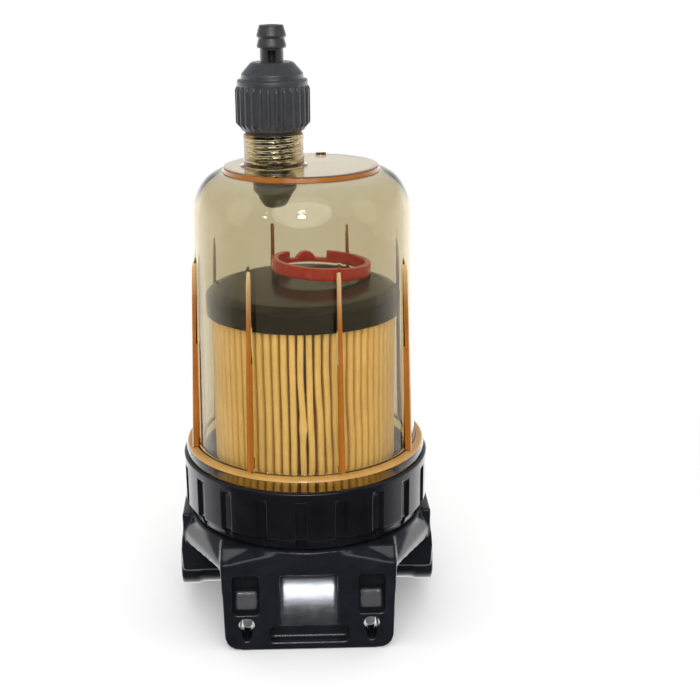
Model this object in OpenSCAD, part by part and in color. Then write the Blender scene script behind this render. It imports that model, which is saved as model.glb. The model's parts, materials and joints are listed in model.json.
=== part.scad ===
// Clear-bowl fuel filter and water separator, standing on the flat underside of its head.
// Origin: on the bowl axis, at the underside of the head. +Z runs up through the bowl,
// the mounting plate faces -Y and the two ports face -X and +X. Millimetres.

/* [Mounting plate] */
// Width of the mounting plate at its top edge
plate_w = 69.8; // [66:0.1:72]
// How much narrower the plate is at its bottom edge
plate_draft = 2.4; // [0:0.1:4]
// Height of the mounting plate
plate_h = 38.2; // [37:0.1:40]
// Distance from the bowl axis to the mounting face
plate_reach = 48.4; // [47:0.1:49]
// Thickness of the plate's front wall
plate_t = 12; // [10:0.5:13]
// Radius of the plate's two lower corners
plate_corner_r = 6; // [3:0.5:8]
// Distance between the two keyhole slots
slot_spacing = 50; // [48:0.5:52]
// Radius of the round end of each keyhole
slot_hole_r = 3.25; // [3:0.05:3.5]
// Height of the centre of the round end
slot_hole_z = 10.9; // [10:0.1:12]
// Width of the narrow leg of each keyhole
slot_leg_w = 4; // [3.4:0.1:4.4]
// Half width of the central window
window_half_w = 11.4; // [10:0.1:12]
// Height of the lower edge of the window
window_z0 = 10.2; // [9:0.1:11]
// Height of the upper edge of the window
window_z1 = 32.9; // [32:0.1:34]

/* [Ports] */
// Height of the port axis above the base
port_z = 17.6; // [16:0.1:18]
// Distance from the bowl axis to each port face
port_reach = 53.7; // [53:0.1:56]
// Outer radius of the rim of each port
port_rim_r = 11.4; // [11:0.05:12.5]
// Length of the rim of each port
port_rim_len = 7.6; // [5:0.1:10]
// Radius of the port boss behind its rim
port_boss_r = 10.6; // [10:0.1:11.5]
// Radius of the tapped wall of each port
port_tap_r = 5.9; // [5.5:0.05:6.5]
// Depth of the tapped wall of each port
port_tap_len = 15; // [12:0.5:17]

/* [Head] */
// Radius of the round body of the head
head_r = 49.5; // [49:0.1:50]
// Lower edge of the round body
head_body_z0 = 33.8; // [32:0.1:35]
// Upper face of the round body, under the collar
head_body_z1 = 43.9; // [43:0.1:44]
// Radius of the threaded barrel that the collar screws on
barrel_r = 44.6; // [44:0.1:44.6]
// Top of the threaded barrel
barrel_z1 = 57; // [56:0.1:57]
// Outer radius of the spigot inside the bowl
spigot_r = 42.2; // [42:0.1:42.2]
// Radius of the centre stub that the filter element slides on
stub_r = 8; // [7:0.1:9]

/* [Collar] */
// Outer radius of the collar
collar_r = 50.8; // [50.5:0.1:52]
// Lower edge of the collar
collar_z0 = 44.5; // [44.3:0.1:45]
// Upper edge of the collar, under the bowl flange
collar_z1 = 69.3; // [68:0.1:70]
// Number of grip grooves around the collar
collar_grooves = 20; // [12:1:24]
// Thread pitch of the collar
collar_pitch = 3; // [2:0.5:4]

/* [Bowl] */
// Outer radius of the bowl flange
flange_r = 49.5; // [49:0.1:50]
// Thickness of the bowl flange
flange_t = 5.4; // [4:0.1:6]
// Outer radius of the bowl wall at the flange
bowl_r0 = 45.6; // [45:0.1:46]
// Outer radius of the bowl wall under its shoulder
bowl_r1 = 43.6; // [43:0.1:44]
// Wall thickness of the bowl
bowl_wall = 2.8; // [2.5:0.1:3]
// Height where the rounded shoulder starts
shoulder_z = 166.8; // [164:0.1:168]
// Height of the flat top of the bowl
bowl_top_z = 187.2; // [186:0.1:188]
// Radius of the raised flat on top of the bowl
flat_r = 30.8; // [28:0.1:31]
// Height of the step round the raised flat
flat_step = 1.9; // [1:0.1:2.4]
// Number of outer ribs
ribs = 8; // [4:1:12]
// Angle of the first rib
rib_angle = -73; // [-90:1:90]
// Height of the rib tips
rib_tip_z = 154.4; // [150:0.1:156]
// Outer radius of the drain neck
neck_r = 11.85; // [11.5:0.05:12]
// Radius of the bore of the drain neck
neck_bore_r = 8.7; // [8.6:0.05:9]
// Top of the drain neck
neck_z1 = 199.7; // [198:0.1:199.8]

/* [Filter element] */
// Outer radius of the cap over the pleats
cap_r = 39.3; // [38:0.1:39.5]
// Underside of the cap
cap_z0 = 129.5; // [128:0.1:130]
// Upper rim of the cap
cap_z1 = 137.3; // [137:0.1:138]
// How far the middle of the cap rises above its rim
cap_crown = 2.2; // [0:0.1:2.4]
// Outer radius of the pleats
pleat_r = 37.3; // [36:0.1:37.5]
// Inner radius of the pleats
pleat_inner_r = 15; // [14:0.5:18]
// Number of pleats
pleats = 70; // [40:1:80]
// Lower end of the pleats
pleat_z0 = 61; // [60:0.5:64]
// Outer radius of the base cap
base_cap_r = 38.2; // [37.6:0.1:38.6]
// Outer radius of the perforated core tube
core_r = 13; // [12:0.5:13.5]

/* [Float ring] */
// Outer radius of the float ring
float_r = 20.8; // [19:0.1:21]
// Radial wall of the float ring
float_wall = 2.6; // [2:0.1:3.5]
// Height of the float ring
float_h = 5; // [4:0.1:6]

/* [Drain valve] */
// Offset of the drain axis from the bowl axis
drain_x = -10.5; // [-11.5:0.1:-9]
// Outer radius of the knurled knob
knob_r = 14.5; // [13.5:0.1:15]
// Underside of the knob
knob_z0 = 201; // [200.9:0.1:202]
// Top of the knob
knob_z1 = 226.8; // [226:0.1:228]
// Number of ridges on the knob
knob_ridges = 28; // [24:2:48]
// Radius of the hose tube
hose_r = 4.5; // [4:0.1:5]
// Radius of the hose barbs
barb_r = 5.7; // [5:0.1:6]
// Top of the hose tube
hose_z1 = 240.4; // [239:0.1:242]
// Crest radius of the thread on the valve stem
stem_thread_r = 8.4; // [8.2:0.05:8.4]
// Pitch of the thread on the valve stem
stem_pitch = 2; // [1.5:0.25:2.5]
// Outer radius of the valve plug
plug_r = 8.7; // [8:0.1:9]
// Top of the valve plug
plug_z1 = 181.6; // [181:0.1:182]
// Tip of the valve plug
plug_z0 = 169.6; // [169:0.1:170]

/* [Hidden] */
$fn = 96;

plate_y0 = -plate_reach;
plate_y1 = plate_y0 + plate_t;
block_back_y = -29;
block_wall = 5;
slab_z0 = 30;
ear_front = 13;
ear_back = 18;
saddle_r = 23;
saddle_y = -21.5;
saddle_z = 11;
chamber_floor_z = 50;
chamber_r = 40.2;
spigot_z1 = 66;
passage_r = 4.6;
inlet_x = -31;
hub_r = 18;
stub_collar_r = 11.5;
stub_bore_r = 5.4;
skirt_r = 46.9;
skirt_z0 = 58.6;
collar_land_r = 47;
collar_bore_r = 44.9;
flange_z1 = collar_z1 + flange_t;
seal_z0 = 62;
seal_z1 = 64.6;
dome_z0 = bowl_top_z - bowl_wall;
thread_z0 = 188.6;
thread_z1 = 200.2;
stem_shank_r = 6.2;
stem_spigot_r = 5.4;
stem_bore_r = 2.6;
stem_top_z = 213;
pleat_sectors = 7;
seat_z0 = 177;
seat_z1 = 179;

function arc(cx, cz, rx, rz, a0, a1, n = 14) =
    [for (i = [0:n]) let (a = a0 + (a1 - a0) * i / n) [cx + rx * cos(a), cz + rz * sin(a)]];

// Radius of a drafted wall at height z, from r0 at the flange to r1 under the shoulder
function wall_r(r0, r1, z) = r0 + (r1 - r0) * (z - flange_z1) / (shoulder_z - flange_z1);

module ring(r_out, r_in, z0, z1) {
    difference() {
        translate([0, 0, z0]) cylinder(r = r_out, h = z1 - z0);
        translate([0, 0, z0 - 1]) cylinder(r = r_in, h = z1 - z0 + 2);
    }
}

// A box given by its lowest and highest corners
module span(low, high) {
    translate(low) cube(high - low);
}

// ---------------------------------------------------------------- head

module plate_outline() {
    low_w = plate_w - plate_draft;
    difference() {
        polygon([
            [-low_w / 2, 0], [low_w / 2, 0],
            [plate_w / 2, plate_h], [-plate_w / 2, plate_h]
        ]);
        for (side = [-1, 1])
            difference() {
                translate([side * (low_w / 2 - plate_corner_r / 2 + 0.5), plate_corner_r / 2 - 0.5])
                    square(plate_corner_r + 1, center = true);
                translate([side * (low_w / 2 - plate_corner_r + 0.15), plate_corner_r])
                    circle(r = plate_corner_r);
            }
    }
}

module plate_extrude(y0, y1) {
    translate([0, y1, 0]) rotate([90, 0, 0]) linear_extrude(y1 - y0) children();
}

// Hollow block behind the mounting face, open underneath
module plate_block() {
    difference() {
        plate_extrude(plate_y0, block_back_y) plate_outline();
        span([-plate_w / 2 + block_wall + 1, plate_y1, -1], [plate_w / 2 - block_wall - 1, 0, slab_z0]);
    }
}

// Casting web with a convex front, seen through the window
module saddle() {
    intersection() {
        translate([0, saddle_y, saddle_z]) rotate([0, 90, 0])
            cylinder(r = saddle_r, h = 2 * window_half_w + 3, center = true);
        span([-window_half_w - 1.5, plate_y0 + 1, 4], [window_half_w + 1.5, saddle_y + 8, 36]);
    }
}

// Sloping web from the top edge of the plate to the round body
module front_shoulder() {
    foot_z = plate_h - 3;
    rotate([90, 0, 90]) linear_extrude(plate_w - 0.6, center = true)
        polygon([
            [plate_y0 + 0.8, foot_z], [plate_y0 + 0.8, plate_h], [plate_y0 + 5, head_body_z1],
            [-20, head_body_z1], [-20, foot_z]
        ]);
}

module port_boss(side) {
    translate([0, 0, port_z]) rotate([0, side * 90, 0]) {
        cylinder(r = port_boss_r, h = port_reach - 1);
        translate([0, 0, port_reach - port_rim_len]) cylinder(r = port_rim_r, h = port_rim_len);
    }
}

// Flared shoulder between a port and the round body
module ear(side) {
    translate([0, ear_back, 0]) rotate([90, 0, 0]) linear_extrude(ear_front + ear_back)
        polygon([
            [side * 30, port_z], [side * 52.4, port_z], [side * 53.2, 27],
            [side * 51.9, 38.5], [side * (head_r + 2.6), head_body_z1], [side * 30, head_body_z1]
        ]);
}

module barrel() {
    ridge = 1;
    turns = 4;
    ring(barrel_r - ridge, chamber_r, head_body_z1 - 1, barrel_z1);
    ring(barrel_r, chamber_r, barrel_z1 - 1, barrel_z1);
    rotate_extrude()
        for (turn = [0:turns - 1])
            translate([barrel_r - ridge - 0.5, 45.4 + turn * collar_pitch])
                polygon([[0, 0], [ridge + 0.5, 0.6], [ridge + 0.5, 1.1], [0, 1.7]]);
    ring(spigot_r, chamber_r, barrel_z1 - 1, spigot_z1);
}

module keyhole(x) {
    plate_extrude(plate_y0 - 1, plate_y1 + 1) translate([x, slot_hole_z]) {
        circle(r = slot_hole_r);
        translate([-slot_leg_w / 2, -4.8]) square([slot_leg_w, 4.8]);
        translate([0, -4.8]) circle(r = slot_leg_w / 2);
    }
}

// Stepped pocket with a sloping floor, cast in the mounting face
module face_pocket(x) {
    translate([x - 5.35, 0, 0]) rotate([90, 0, 90]) linear_extrude(10.7)
        polygon([
            [plate_y0 - 1, 33], [plate_y0 + 6.5, 33], [plate_y0 + 6.5, 24.5],
            [plate_y0 + 8, 24.5], [plate_y0 + 8, 22.5], [plate_y0 + 3, 16], [plate_y0 - 1, 16]
        ]);
}

module window_cut() {
    span([-window_half_w, plate_y0 - 1, window_z0], [window_half_w, plate_y1 + 1, window_z1]);
    sill_half_w = window_half_w + 4.5;
    rotate([90, 0, 0]) translate([0, 0, -plate_y0 - 4]) linear_extrude(6)
        translate([-sill_half_w, 3.7]) square([2 * sill_half_w, window_z0 - 3.7]);
}

module passages() {
    for (side = [-1, 1])
        translate([side * (port_reach + 1), 0, port_z]) rotate([0, -side * 90, 0])
            cylinder(r = port_tap_r, h = port_tap_len + 1);
    translate([-port_reach + 2, 0, port_z]) rotate([0, 90, 0])
        cylinder(r = passage_r, h = port_reach - 2 + inlet_x);
    translate([inlet_x, 0, port_z]) cylinder(r = passage_r, h = chamber_floor_z - port_z + 1);
    translate([0, 0, port_z]) rotate([0, 90, 0]) cylinder(r = passage_r, h = port_reach - 2);
    translate([0, 0, port_z]) cylinder(r = passage_r, h = chamber_floor_z - port_z);
    translate([0, 0, head_body_z0 + 4]) cylinder(r = stub_r + 0.1, h = 20);
}

module head_casting() {
    color("#1d1e22") difference() {
        union() {
            translate([0, 0, head_body_z0]) cylinder(r = head_r, h = head_body_z1 - head_body_z0);
            translate([0, 0, head_body_z0]) cylinder(r = chamber_r + 1, h = chamber_floor_z - head_body_z0);
            barrel();
            cylinder(r = hub_r, h = head_body_z0 + 1);
            plate_block();
            front_shoulder();
            for (side = [-1, 1]) {
                port_boss(side);
                ear(side);
            }
            // stiffening webs from the hub to the plate block and to the rear
            span([-3, 0, 0], [3, 40, head_body_z0 + 1]);
            for (side = [-1, 1])
                span([side * 16 - 2, plate_y1 - 1, 8], [side * 16 + 2, 0, head_body_z0 + 1]);
            saddle();
        }
        for (side = [-1, 1]) {
            keyhole(side * slot_spacing / 2);
            face_pocket(side * slot_spacing / 2);
        }
        difference() {
            window_cut();
            saddle();
        }
        passages();
    }
}

module centre_stub() {
    color("#b9bcc2") difference() {
        union() {
            translate([0, 0, head_body_z0 + 4.2]) cylinder(r = stub_r, h = 30);
            translate([0, 0, chamber_floor_z + 1.6]) cylinder(r = stub_collar_r, h = 2.4, $fn = 6);
            translate([0, 0, head_body_z0 + 34.2]) cylinder(r1 = stub_r, r2 = stub_r - 1, h = 1.5);
        }
        translate([0, 0, head_body_z0]) cylinder(r = stub_bore_r, h = 40);
    }
}

module stub_seal() {
    color("#161616") ring(stub_r + 2.2, stub_r + 0.15, chamber_floor_z + 0.02, chamber_floor_z + 1.58);
}

// ---------------------------------------------------------------- collar and bowl

module collar() {
    groove_w = 4.6;
    color("#15161b") difference() {
        rotate_extrude() polygon([
            [collar_bore_r, collar_z0], [collar_r - 2.6, collar_z0], [collar_r - 1.6, collar_z0 + 3.4],
            [collar_r, collar_z0 + 5], [collar_r, collar_z1 - 1], [collar_r - 0.6, collar_z1],
            [collar_land_r, collar_z1], [collar_land_r, barrel_z1 - 0.3], [collar_bore_r, barrel_z1 - 0.3]
        ]);
        for (i = [0:collar_grooves - 1])
            rotate([0, 0, (i + 0.83) * 360 / collar_grooves])
                span([collar_r - 1.1, -groove_w / 2, collar_z0 - 1],
                     [collar_r + 2, groove_w / 2, collar_z1 - 4.2]);
    }
}

module bowl_shell() {
    difference() {
        union() {
            rotate_extrude() polygon(concat(
                [[0, skirt_z0], [skirt_r, skirt_z0], [skirt_r, collar_z1],
                 [flange_r - 0.5, collar_z1], [flange_r, collar_z1 + 0.5],
                 [flange_r, flange_z1 - 1], [flange_r - 1, flange_z1], [bowl_r0, flange_z1]],
                arc(flat_r + 0.8, shoulder_z, bowl_r1 - flat_r - 0.8, bowl_top_z - flat_step - shoulder_z, 0, 90),
                [[flat_r, bowl_top_z - flat_step], [flat_r - 0.3, bowl_top_z], [0, bowl_top_z]]
            ));
            translate([drain_x, 0, bowl_top_z - 1]) cylinder(r = neck_r, h = neck_z1 - bowl_top_z + 1);
            translate([drain_x, 0, bowl_top_z - 1]) cylinder(r1 = neck_r + 1.6, r2 = neck_r, h = 2.2);
            translate([8.5, 24, bowl_top_z - 1]) cylinder(r = 2.4, h = 2);
        }
        rotate_extrude() polygon(concat(
            [[0, skirt_z0 - 1], [43, skirt_z0 - 1], [43, seal_z0 - 0.1], [44.7, seal_z0 - 0.1],
             [44.7, seal_z1 + 0.1], [43, seal_z1 + 0.1], [43, collar_z1], [bowl_r0 - bowl_wall, flange_z1]],
            arc(flat_r, shoulder_z - 1, bowl_r1 - bowl_wall - flat_r, dome_z0 - shoulder_z + 1, 0, 90),
            [[0, dome_z0]]
        ));
        translate([drain_x, 0, dome_z0 - 1]) cylinder(r = neck_bore_r, h = 30);
    }
}

// Outer ribs, thicker and deeper towards the flange
module bowl_ribs() {
    intersection() {
        for (i = [0:ribs - 1])
            rotate([0, 0, rib_angle + 45 + i * 360 / ribs]) translate([40, 0, 0])
                rotate([90, 0, 90]) linear_extrude(12)
                    polygon([[-1.7, flange_z1 - 1], [1.7, flange_z1 - 1], [0.5, rib_tip_z], [-0.5, rib_tip_z]]);
        rotate_extrude() polygon([
            [wall_r(bowl_r0, bowl_r1, flange_z1) - 1, flange_z1 - 1], [bowl_r0 + 2.4, flange_z1 - 1],
            [wall_r(bowl_r0, bowl_r1, rib_tip_z - 8) + 1.3, rib_tip_z - 8],
            [wall_r(bowl_r0, bowl_r1, rib_tip_z) + 0.3, rib_tip_z],
            [wall_r(bowl_r0, bowl_r1, rib_tip_z) - 1, rib_tip_z]
        ]);
    }
}

module bowl() {
    color("#d8a850", 0.45) {
        bowl_shell();
        bowl_ribs();
    }
}

module bowl_gasket() {
    color("#1a1a1a") ring(44.5, 42.5, barrel_z1 + 0.05, skirt_z0 - 0.05);
}

module bowl_seal() {
    color("#202020") ring(44.6, spigot_r + 0.08, seal_z0, seal_z1);
}

// ---------------------------------------------------------------- filter element

module element_top_cap() {
    color("#2c2620") difference() {
        rotate_extrude() polygon([
            [0, cap_z0 + 2.2], [core_r + 1.2, cap_z0 + 2.2], [core_r + 1.2, cap_z0], [cap_r, cap_z0],
            [cap_r, cap_z1 - 0.6], [cap_r - 0.6, cap_z1], [cap_r - 5, cap_z1 + 0.2],
            [20, cap_z1 + cap_crown], [0, cap_z1 + cap_crown]
        ]);
        ring(pleat_r + 0.6, core_r + 1.2, cap_z0 - 1, cap_z0 + 1);
    }
}

module element_base_cap() {
    color("#2c2620") difference() {
        translate([0, 0, pleat_z0 - 5]) cylinder(r = base_cap_r, h = 6);
        translate([0, 0, pleat_z0 - 10]) cylinder(r = 12.2, h = 20);
        ring(pleat_r + 0.6, core_r + 1.2, pleat_z0, pleat_z0 + 5);
        ring(core_r + 1.3, 10, pleat_z0, pleat_z0 + 5);
    }
}

// Folded paper strip: outside and inside outlines of the folds
function fold(r_peak, peak_half, r_valley, valley_half) = [
    for (i = [0:pleats - 1]) let (a = i * 360 / pleats, h = 180 / pleats)
        each [
            [r_peak * cos(a - peak_half), r_peak * sin(a - peak_half)],
            [r_peak * cos(a + peak_half), r_peak * sin(a + peak_half)],
            [r_valley * cos(a + h - valley_half), r_valley * sin(a + h - valley_half)],
            [r_valley * cos(a + h + valley_half), r_valley * sin(a + h + valley_half)]
        ]
];

// One seventh of the folded paper, cut at the middle of a fold's outer bend
module pleat_sector(number) {
    paper = 0.5;
    outer_half = 1.25;
    inner_half = 1.3;
    sector = 360 / pleat_sectors;
    reach = 2 * pleat_r;
    start = (number - 1) * sector;
    color("#e2bd74") translate([0, 0, pleat_z0 + 0.02]) linear_extrude(cap_z0 - pleat_z0 + 0.96) intersection() {
        difference() {
            polygon(fold(pleat_r, outer_half, pleat_inner_r + paper, 180 / pleats - inner_half - 0.95));
            polygon(fold(pleat_r - paper, outer_half - 0.75, pleat_inner_r, 180 / pleats - inner_half));
        }
        polygon([
            [0, 0], [reach * cos(start), reach * sin(start)],
            [reach * cos(start + sector / 2), reach * sin(start + sector / 2)],
            [reach * cos(start + sector), reach * sin(start + sector)]
        ]);
    }
}

module pleats_1() {
    pleat_sector(1);
}

module pleats_2() {
    pleat_sector(2);
}

module pleats_3() {
    pleat_sector(3);
}

module pleats_4() {
    pleat_sector(4);
}

module pleats_5() {
    pleat_sector(5);
}

module pleats_6() {
    pleat_sector(6);
}

module pleats_7() {
    pleat_sector(7);
}

module core_tube() {
    rows = 9;
    color("#9aa0a6") difference() {
        ring(core_r, core_r - 1, pleat_z0 + 0.02, cap_z0 + 2.18);
        for (row = [0:rows - 1])
            for (turn = [0:2])
                translate([0, 0, pleat_z0 + 8 + row * 6.6]) rotate([90, 0, turn * 60 + (row % 2) * 30])
                    cylinder(r = 1.6, h = 2 * core_r + 4, center = true, $fn = 24);
    }
}

// Metal strip that joins the two ends of the folded paper
module seam_clip() {
    color("#c4c8cc") intersection() {
        ring(pleat_r + 0.55, pleat_r + 0.05, pleat_z0 + 1.2, cap_z0 - 0.1);
        span([-2.2, 0, 0], [2.2, 60, 200]);
    }
}

module base_grommet() {
    color("#141414") difference() {
        union() {
            translate([0, 0, pleat_z0 - 5]) cylinder(r = 12.15, h = 5);
            translate([0, 0, pleat_z0]) cylinder(r = 11.8, h = 2);
        }
        translate([0, 0, pleat_z0 - 10]) cylinder(r = stub_r + 0.08, h = 20);
    }
}

// ---------------------------------------------------------------- float ring

// Loose ring, lying tilted on the crown of the cap, with a gap in its rear wall
module float_ring() {
    gap_w = 19.6;
    gap_x = -6.6;
    tab_r = 5.2;
    color("#c2240e") translate([7.9, 14.4, cap_z1 + 3.4]) rotate([-2.3, 3.6, 0]) {
        difference() {
            ring(float_r, float_r - float_wall, 0, float_h);
            translate([gap_x - gap_w / 2, float_r / 3, 1.8]) cube([gap_w, float_r, float_h]);
        }
        difference() {
            ring(float_r - 0.4, float_r - float_wall + 0.4, 1, float_h - 0.4);
            rotate([90, 0, 180]) translate([-gap_x, float_h - 0.4 - tab_r, 0]) difference() {
                translate([-50, -20, -60]) cube([100, 60, 120]);
                cylinder(r = tab_r, h = 60, $fn = 48);
            }
        }
    }
}

// ---------------------------------------------------------------- drain valve

module on_drain() {
    translate([drain_x, 0, 0]) children();
}

// Ridges around the grip of the knob
module knob_ridges_ring(z0, z1) {
    ridge_w = 1.4;
    first = 180 / knob_ridges;
    for (i = [0:knob_ridges - 1])
        rotate([0, 0, first + i * 360 / knob_ridges])
            span([knob_r - 1.8, -ridge_w / 2, z0], [knob_r, ridge_w / 2, z1]);
}

module drain_knob() {
    root_r = knob_r - 0.9;
    grip_top = knob_z0 + 17;
    neck_top = knob_z0 + 19.4;
    color("#3a3b3f") on_drain() difference() {
        union() {
            rotate_extrude() polygon([
                [0, knob_z0], [root_r - 1.2, knob_z0], [root_r, knob_z0 + 3.2],
                [root_r, neck_top - 0.4], [root_r - 1.4, neck_top], [root_r - 1.4, neck_top + 1.8],
                [8.4, knob_z1 - 0.4], [7.9, knob_z1], [0, knob_z1]
            ]);
            knob_ridges_ring(knob_z0 + 3.6, grip_top);
        }
        translate([0, 0, knob_z0 - 1]) cylinder(r = stem_spigot_r + 0.05, h = 40);
    }
}

module drain_barb() {
    color("#303134") on_drain() difference() {
        rotate_extrude() polygon([
            [0, stem_top_z + 0.4], [stem_spigot_r, stem_top_z + 0.4], [stem_spigot_r, knob_z1 - 0.1],
            [hose_r, knob_z1 - 0.1], [hose_r, hose_z1 - 8.6], [barb_r - 0.1, hose_z1 - 8.4],
            [barb_r, hose_z1 - 7.6], [barb_r - 0.7, hose_z1 - 4.9], [barb_r - 0.1, hose_z1 - 4.5],
            [barb_r, hose_z1 - 3.7], [hose_r + 0.2, hose_z1 - 0.6], [hose_r - 0.2, hose_z1], [0, hose_z1]
        ]);
        translate([0, 0, stem_top_z]) cylinder(r = stem_bore_r, h = 40);
        span([-1.7, -hose_r - 1, knob_z1], [1.7, -hose_r + 1.1, hose_z1 - 9.2]);
    }
}

module drain_stem() {
    crests = floor((thread_z1 - thread_z0) / stem_pitch);
    color("#4a4b4e") on_drain() difference() {
        rotate_extrude() polygon(concat(
            [[0, plug_z1 + 0.05], [stem_shank_r, plug_z1 + 0.05], [stem_shank_r, thread_z0]],
            [for (i = [0:crests - 1]) let (z = thread_z0 + i * stem_pitch)
                each [[stem_thread_r - 1.3, z], [stem_thread_r, z + 0.75],
                      [stem_thread_r, z + 1.05], [stem_thread_r - 1.3, z + 1.8]]],
            [[stem_thread_r - 1.3, thread_z1], [stem_spigot_r, thread_z1],
             [stem_spigot_r, stem_top_z], [0, stem_top_z]]
        ));
        translate([0, 0, plug_z1 - 1]) cylinder(r = stem_bore_r, h = 60);
    }
}

module drain_plug() {
    color("#48493c") on_drain() difference() {
        rotate_extrude() polygon([
            [0, plug_z0], [4.8, plug_z0], [plug_r, 175], [plug_r, seat_z0], [plug_r - 1.2, seat_z0],
            [plug_r - 1.2, seat_z1], [plug_r, seat_z1], [plug_r, plug_z1 - 0.6], [plug_r - 0.6, plug_z1], [0, plug_z1]
        ]);
        translate([0, 0, 173]) cylinder(r = stem_bore_r, h = 20);
        for (turn = [0:1])
            translate([0, 0, 174.4]) rotate([90, 0, turn * 90])
                cylinder(r = 1.3, h = 2 * plug_r + 2, center = true, $fn = 24);
    }
}

module plug_seal() {
    color("#121212") on_drain() ring(plug_r + 0.1, plug_r - 1.15, seat_z0 + 0.05, seat_z1 - 0.05);
}

module drain_stem_seal() {
    color("#121212") on_drain() ring(neck_bore_r - 0.08, stem_shank_r + 0.08, thread_z0 - 2.4, thread_z0 - 0.4);
}

module drain_neck_seal() {
    color("#121212") on_drain() ring(11, neck_bore_r + 0.2, neck_z1 + 0.02, knob_z0 - 0.02);
}

head_casting();
centre_stub();
stub_seal();
collar();
bowl();
bowl_gasket();
bowl_seal();
element_top_cap();
element_base_cap();
pleats_1();
pleats_2();
pleats_3();
pleats_4();
pleats_5();
pleats_6();
pleats_7();
core_tube();
seam_clip();
base_grommet();
float_ring();
drain_knob();
drain_barb();
drain_stem();
drain_plug();
plug_seal();
drain_stem_seal();
drain_neck_seal();
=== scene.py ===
"""Clear-bowl fuel filter: detailed pieces, materials, floor, light and camera round the CAD frame."""

import json
import math
import random

import bmesh
import bpy
import numpy as np
from mathutils import Matrix, Vector


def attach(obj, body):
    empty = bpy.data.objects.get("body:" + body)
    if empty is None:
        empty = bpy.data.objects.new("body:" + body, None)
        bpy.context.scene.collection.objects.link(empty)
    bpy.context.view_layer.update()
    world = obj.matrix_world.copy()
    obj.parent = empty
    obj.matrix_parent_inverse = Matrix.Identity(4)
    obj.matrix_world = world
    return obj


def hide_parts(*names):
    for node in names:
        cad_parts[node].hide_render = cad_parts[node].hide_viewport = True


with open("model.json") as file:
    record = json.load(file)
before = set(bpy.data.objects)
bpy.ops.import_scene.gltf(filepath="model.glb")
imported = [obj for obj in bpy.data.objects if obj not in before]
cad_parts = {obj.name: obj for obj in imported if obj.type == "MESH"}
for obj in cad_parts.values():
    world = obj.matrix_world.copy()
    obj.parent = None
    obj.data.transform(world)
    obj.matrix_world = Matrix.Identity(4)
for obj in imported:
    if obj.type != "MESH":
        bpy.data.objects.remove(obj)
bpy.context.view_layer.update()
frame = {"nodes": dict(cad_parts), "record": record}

MM = 0.001
TURN = 2 * math.pi
scene = bpy.context.scene


# ---------------------------------------------------------------- geometry helpers


def rounded(corners, steps=5):
    """An open outline through (r, z, fillet radius) corners, with each inner corner rounded off."""
    out = []
    for i, (r, z, fillet) in enumerate(corners):
        if fillet <= 0 or i in (0, len(corners) - 1):
            out.append((r, z))
            continue
        corner = Vector((r, z))
        back, ahead = Vector(corners[i - 1][:2]) - corner, Vector(corners[i + 1][:2]) - corner
        room = 0.49 * min(back.length, ahead.length)
        back.normalize()
        ahead.normalize()
        half = math.acos(max(-1.0, min(1.0, back.dot(ahead)))) / 2
        if half > math.pi / 2 - 0.02:
            out.append((r, z))
            continue
        cut = min(fillet / math.tan(half), room)
        centre = corner + (back + ahead).normalized() * (cut / math.cos(half))
        first, last = corner + back * cut - centre, corner + ahead * cut - centre
        a0 = math.atan2(first.y, first.x)
        sweep = math.atan2(last.y, last.x) - a0
        sweep = (sweep + math.pi) % TURN - math.pi
        radius = first.length
        for k in range(steps + 1):
            a = a0 + sweep * k / steps
            out.append((centre.x + radius * math.cos(a), centre.y + radius * math.sin(a)))
    return out


def dense(outline, step):
    """The same outline with no stretch longer than step."""
    out = [outline[0]]
    for (r0, z0), (r1, z1) in zip(outline, outline[1:]):
        parts = max(1, math.ceil(math.hypot(r1 - r0, z1 - z0) / step))
        out += [(r0 + (r1 - r0) * k / parts, z0 + (z1 - z0) * k / parts) for k in range(1, parts + 1)]
    return out


def around(count):
    return [TURN * k / count for k in range(count)]


def around_features(centres, offsets, fill):
    """Angles with offsets (radians) about each centre, and an even fill between them."""
    marks = sorted((c + o) % TURN for c in centres for o in offsets)
    out = []
    for a, b in zip(marks, marks[1:] + [marks[0] + TURN]):
        parts = max(1, round((b - a) / fill))
        out += [a + (b - a) * k / parts for k in range(parts)]
    return sorted(a % TURN for a in out)


def revolve(outline, angles, shape=None, closed=False, centre=(0.0, 0.0)):
    """Vertices and faces of an outline turned about Z. shape(r, z, angle) may move each point."""
    verts, rows = [], []
    for r, z in outline:
        if r < 1e-6:
            rows.append([len(verts)])
            verts.append((centre[0], centre[1], z))
            continue
        row = []
        for a in angles:
            rr, zz = shape(r, z, a) if shape else (r, z)
            row.append(len(verts))
            verts.append((centre[0] + rr * math.cos(a), centre[1] + rr * math.sin(a), zz))
        rows.append(row)
    faces, n = [], len(angles)
    for low, high in zip(rows, rows[1:] + ([rows[0]] if closed else [])):
        for i in range(n):
            j = (i + 1) % n
            if len(low) == 1 and len(high) == 1:
                continue
            if len(low) == 1:
                faces.append((low[0], high[j], high[i]))
            elif len(high) == 1:
                faces.append((low[i], low[j], high[0]))
            else:
                faces.append((low[i], low[j], high[j], high[i]))
    return verts, faces


def mesh_object(name, verts, faces):
    mesh = bpy.data.meshes.new(name)
    mesh.from_pydata([(x * MM, y * MM, z * MM) for x, y, z in verts], [], faces)
    mesh.update()
    bm = bmesh.new()
    bm.from_mesh(mesh)
    bmesh.ops.recalc_face_normals(bm, faces=bm.faces)
    bm.to_mesh(mesh)
    bm.free()
    obj = bpy.data.objects.new(name, mesh)
    scene.collection.objects.link(obj)
    return obj


def apply_modifiers(obj):
    bpy.context.view_layer.update()
    graph = bpy.context.evaluated_depsgraph_get()
    mesh = bpy.data.meshes.new_from_object(obj.evaluated_get(graph))
    obj.modifiers.clear()
    obj.data = mesh


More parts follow.
